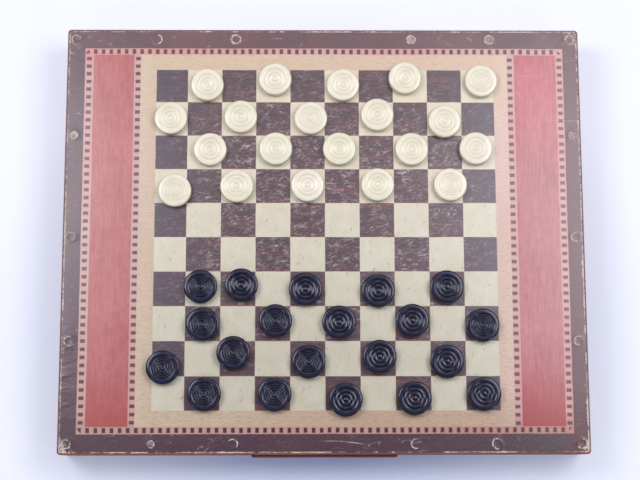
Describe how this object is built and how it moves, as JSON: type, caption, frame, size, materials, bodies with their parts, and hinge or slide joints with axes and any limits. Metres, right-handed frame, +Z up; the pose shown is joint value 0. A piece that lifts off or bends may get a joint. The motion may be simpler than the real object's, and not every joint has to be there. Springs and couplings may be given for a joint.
{
  "type": "travel checkers set",
  "caption": "Flat wooden draughts case with a printed board on its lid, ring-faced light and dark men, and a storage drawer in its front.",
  "frame": {"origin": "centre of the case's underside, on the plane that it stands on", "axes": "+Z up out of the board, +X along the case's length to the player's right, -Y towards the player, on the drawer's side"},
  "size_m": [0.376, 0.3118, 0.044],
  "materials": {
    "printed_paper": "varnished print, worn",
    "stained_wood": "red-brown stain, satin",
    "drawer_stain": "dark red stain, satin",
    "bare_wood": "bare, sanded",
    "bare_board": "bare plywood",
    "screw_steel": "zinc plated",
    "light_plastic": "ivory, polished",
    "dark_plastic": "blue-black, polished"
  },
  "bodies": {
    "case": {"board_print": "printed_paper", "top_panel": "stained_wood", "bottom_panel": "bare_board", "front_rail_left": "stained_wood", "front_rail_right": "stained_wood", "back_rail": "stained_wood", "left_rail": "stained_wood", "right_rail": "stained_wood", "top_screws": "screw_steel", "bottom_screws": "screw_steel", "drawer_guide_left": "bare_wood", "drawer_guide_right": "bare_wood", "drawer_stop": "bare_wood"},
    "drawer": {"drawer_front": "drawer_stain", "drawer_bottom": "bare_board", "drawer_left_side": "bare_wood", "drawer_right_side": "bare_wood", "drawer_back": "bare_wood", "drawer_divider": "bare_wood", "drawer_nails": "screw_steel"},
    "light_man_01_body": {"light_man_01": "light_plastic"},
    "light_man_02_body": {"light_man_02": "light_plastic"},
    "light_man_03_body": {"light_man_03": "light_plastic"},
    "light_man_04_body": {"light_man_04": "light_plastic"},
    "light_man_05_body": {"light_man_05": "light_plastic"},
    "light_man_06_body": {"light_man_06": "light_plastic"},
    "light_man_07_body": {"light_man_07": "light_plastic"},
    "light_man_08_body": {"light_man_08": "light_plastic"},
    "light_man_09_body": {"light_man_09": "light_plastic"},
    "light_man_10_body": {"light_man_10": "light_plastic"},
    "light_man_11_body": {"light_man_11": "light_plastic"},
    "light_man_12_body": {"light_man_12": "light_plastic"},
    "light_man_13_body": {"light_man_13": "light_plastic"},
    "light_man_14_body": {"light_man_14": "light_plastic"},
    "light_man_15_body": {"light_man_15": "light_plastic"},
    "light_man_16_body": {"light_man_16": "light_plastic"},
    "light_man_17_body": {"light_man_17": "light_plastic"},
    "light_man_18_body": {"light_man_18": "light_plastic"},
    "light_man_19_body": {"light_man_19": "light_plastic"},
    "light_man_20_body": {"light_man_20": "light_plastic"},
    "dark_man_01_body": {"dark_man_01": "dark_plastic"},
    "dark_man_02_body": {"dark_man_02": "dark_plastic"},
    "dark_man_03_body": {"dark_man_03": "dark_plastic"},
    "dark_man_04_body": {"dark_man_04": "dark_plastic"},
    "dark_man_05_body": {"dark_man_05": "dark_plastic"},
    "dark_man_06_body": {"dark_man_06": "dark_plastic"},
    "dark_man_07_body": {"dark_man_07": "dark_plastic"},
    "dark_man_08_body": {"dark_man_08": "dark_plastic"},
    "dark_man_09_body": {"dark_man_09": "dark_plastic"},
    "dark_man_10_body": {"dark_man_10": "dark_plastic"},
    "dark_man_11_body": {"dark_man_11": "dark_plastic"},
    "dark_man_12_body": {"dark_man_12": "dark_plastic"},
    "dark_man_13_body": {"dark_man_13": "dark_plastic"},
    "dark_man_14_body": {"dark_man_14": "dark_plastic"},
    "dark_man_15_body": {"dark_man_15": "dark_plastic"},
    "dark_man_16_body": {"dark_man_16": "dark_plastic"},
    "dark_man_17_body": {"dark_man_17": "dark_plastic"},
    "dark_man_18_body": {"dark_man_18": "dark_plastic"},
    "dark_man_19_body": {"dark_man_19": "dark_plastic"},
    "dark_man_20_body": {"dark_man_20": "dark_plastic"}
  },
  "joints": [
    {"name": "drawer_slide", "type": "slide", "parent": "case", "child": "drawer", "axis": [0, -1, 0], "range_m": [0, 0.13]},
    {"name": "light_man_01_lift", "type": "slide", "parent": "case", "child": "light_man_01_body", "axis": [0, 0, 1], "range_m": [0, 0.03]},
    {"name": "light_man_02_lift", "type": "slide", "parent": "case", "child": "light_man_02_body", "axis": [0, 0, 1], "range_m": [0, 0.03]},
    {"name": "light_man_03_lift", "type": "slide", "parent": "case", "child": "light_man_03_body", "axis": [0, 0, 1], "range_m": [0, 0.03]},
    {"name": "light_man_04_lift", "type": "slide", "parent": "case", "child": "light_man_04_body", "axis": [0, 0, 1], "range_m": [0, 0.03]},
    {"name": "light_man_05_lift", "type": "slide", "parent": "case", "child": "light_man_05_body", "axis": [0, 0, 1], "range_m": [0, 0.03]},
    {"name": "light_man_06_lift", "type": "slide", "parent": "case", "child": "light_man_06_body", "axis": [0, 0, 1], "range_m": [0, 0.03]},
    {"name": "light_man_07_lift", "type": "slide", "parent": "case", "child": "light_man_07_body", "axis": [0, 0, 1], "range_m": [0, 0.03]},
    {"name": "light_man_08_lift", "type": "slide", "parent": "case", "child": "light_man_08_body", "axis": [0, 0, 1], "range_m": [0, 0.03]},
    {"name": "light_man_09_lift", "type": "slide", "parent": "case", "child": "light_man_09_body", "axis": [0, 0, 1], "range_m": [0, 0.03]},
    {"name": "light_man_10_lift", "type": "slide", "parent": "case", "child": "light_man_10_body", "axis": [0, 0, 1], "range_m": [0, 0.03]},
    {"name": "light_man_11_lift", "type": "slide", "parent": "case", "child": "light_man_11_body", "axis": [0, 0, 1], "range_m": [0, 0.03]},
    {"name": "light_man_12_lift", "type": "slide", "parent": "case", "child": "light_man_12_body", "axis": [0, 0, 1], "range_m": [0, 0.03]},
    {"name": "light_man_13_lift", "type": "slide", "parent": "case", "child": "light_man_13_body", "axis": [0, 0, 1], "range_m": [0, 0.03]},
    {"name": "light_man_14_lift", "type": "slide", "parent": "case", "child": "light_man_14_body", "axis": [0, 0, 1], "range_m": [0, 0.03]},
    {"name": "light_man_15_lift", "type": "slide", "parent": "case", "child": "light_man_15_body", "axis": [0, 0, 1], "range_m": [0, 0.03]},
    {"name": "light_man_16_lift", "type": "slide", "parent": "case", "child": "light_man_16_body", "axis": [0, 0, 1], "range_m": [0, 0.03]},
    {"name": "light_man_17_lift", "type": "slide", "parent": "case", "child": "light_man_17_body", "axis": [0, 0, 1], "range_m": [0, 0.03]},
    {"name": "light_man_18_lift", "type": "slide", "parent": "case", "child": "light_man_18_body", "axis": [0, 0, 1], "range_m": [0, 0.03]},
    {"name": "light_man_19_lift", "type": "slide", "parent": "case", "child": "light_man_19_body", "axis": [0, 0, 1], "range_m": [0, 0.03]},
    {"name": "light_man_20_lift", "type": "slide", "parent": "case", "child": "light_man_20_body", "axis": [0, 0, 1], "range_m": [0, 0.03]},
    {"name": "dark_man_01_lift", "type": "slide", "parent": "case", "child": "dark_man_01_body", "axis": [0, 0, 1], "range_m": [0, 0.03]},
    {"name": "dark_man_02_lift", "type": "slide", "parent": "case", "child": "dark_man_02_body", "axis": [0, 0, 1], "range_m": [0, 0.03]},
    {"name": "dark_man_03_lift", "type": "slide", "parent": "case", "child": "dark_man_03_body", "axis": [0, 0, 1], "range_m": [0, 0.03]},
    {"name": "dark_man_04_lift", "type": "slide", "parent": "case", "child": "dark_man_04_body", "axis": [0, 0, 1], "range_m": [0, 0.03]},
    {"name": "dark_man_05_lift", "type": "slide", "parent": "case", "child": "dark_man_05_body", "axis": [0, 0, 1], "range_m": [0, 0.03]},
    {"name": "dark_man_06_lift", "type": "slide", "parent": "case", "child": "dark_man_06_body", "axis": [0, 0, 1], "range_m": [0, 0.03]},
    {"name": "dark_man_07_lift", "type": "slide", "parent": "case", "child": "dark_man_07_body", "axis": [0, 0, 1], "range_m": [0, 0.03]},
    {"name": "dark_man_08_lift", "type": "slide", "parent": "case", "child": "dark_man_08_body", "axis": [0, 0, 1], "range_m": [0, 0.03]},
    {"name": "dark_man_09_lift", "type": "slide", "parent": "case", "child": "dark_man_09_body", "axis": [0, 0, 1], "range_m": [0, 0.03]},
    {"name": "dark_man_10_lift", "type": "slide", "parent": "case", "child": "dark_man_10_body", "axis": [0, 0, 1], "range_m": [0, 0.03]},
    {"name": "dark_man_11_lift", "type": "slide", "parent": "case", "child": "dark_man_11_body", "axis": [0, 0, 1], "range_m": [0, 0.03]},
    {"name": "dark_man_12_lift", "type": "slide", "parent": "case", "child": "dark_man_12_body", "axis": [0, 0, 1], "range_m": [0, 0.03]},
    {"name": "dark_man_13_lift", "type": "slide", "parent": "case", "child": "dark_man_13_body", "axis": [0, 0, 1], "range_m": [0, 0.03]},
    {"name": "dark_man_14_lift", "type": "slide", "parent": "case", "child": "dark_man_14_body", "axis": [0, 0, 1], "range_m": [0, 0.03]},
    {"name": "dark_man_15_lift", "type": "slide", "parent": "case", "child": "dark_man_15_body", "axis": [0, 0, 1], "range_m": [0, 0.03]},
    {"name": "dark_man_16_lift", "type": "slide", "parent": "case", "child": "dark_man_16_body", "axis": [0, 0, 1], "range_m": [0, 0.03]},
    {"name": "dark_man_17_lift", "type": "slide", "parent": "case", "child": "dark_man_17_body", "axis": [0, 0, 1], "range_m": [0, 0.03]},
    {"name": "dark_man_18_lift", "type": "slide", "parent": "case", "child": "dark_man_18_body", "axis": [0, 0, 1], "range_m": [0, 0.03]},
    {"name": "dark_man_19_lift", "type": "slide", "parent": "case", "child": "dark_man_19_body", "axis": [0, 0, 1], "range_m": [0, 0.03]},
    {"name": "dark_man_20_lift", "type": "slide", "parent": "case", "child": "dark_man_20_body", "axis": [0, 0, 1], "range_m": [0, 0.03]}
  ]
}
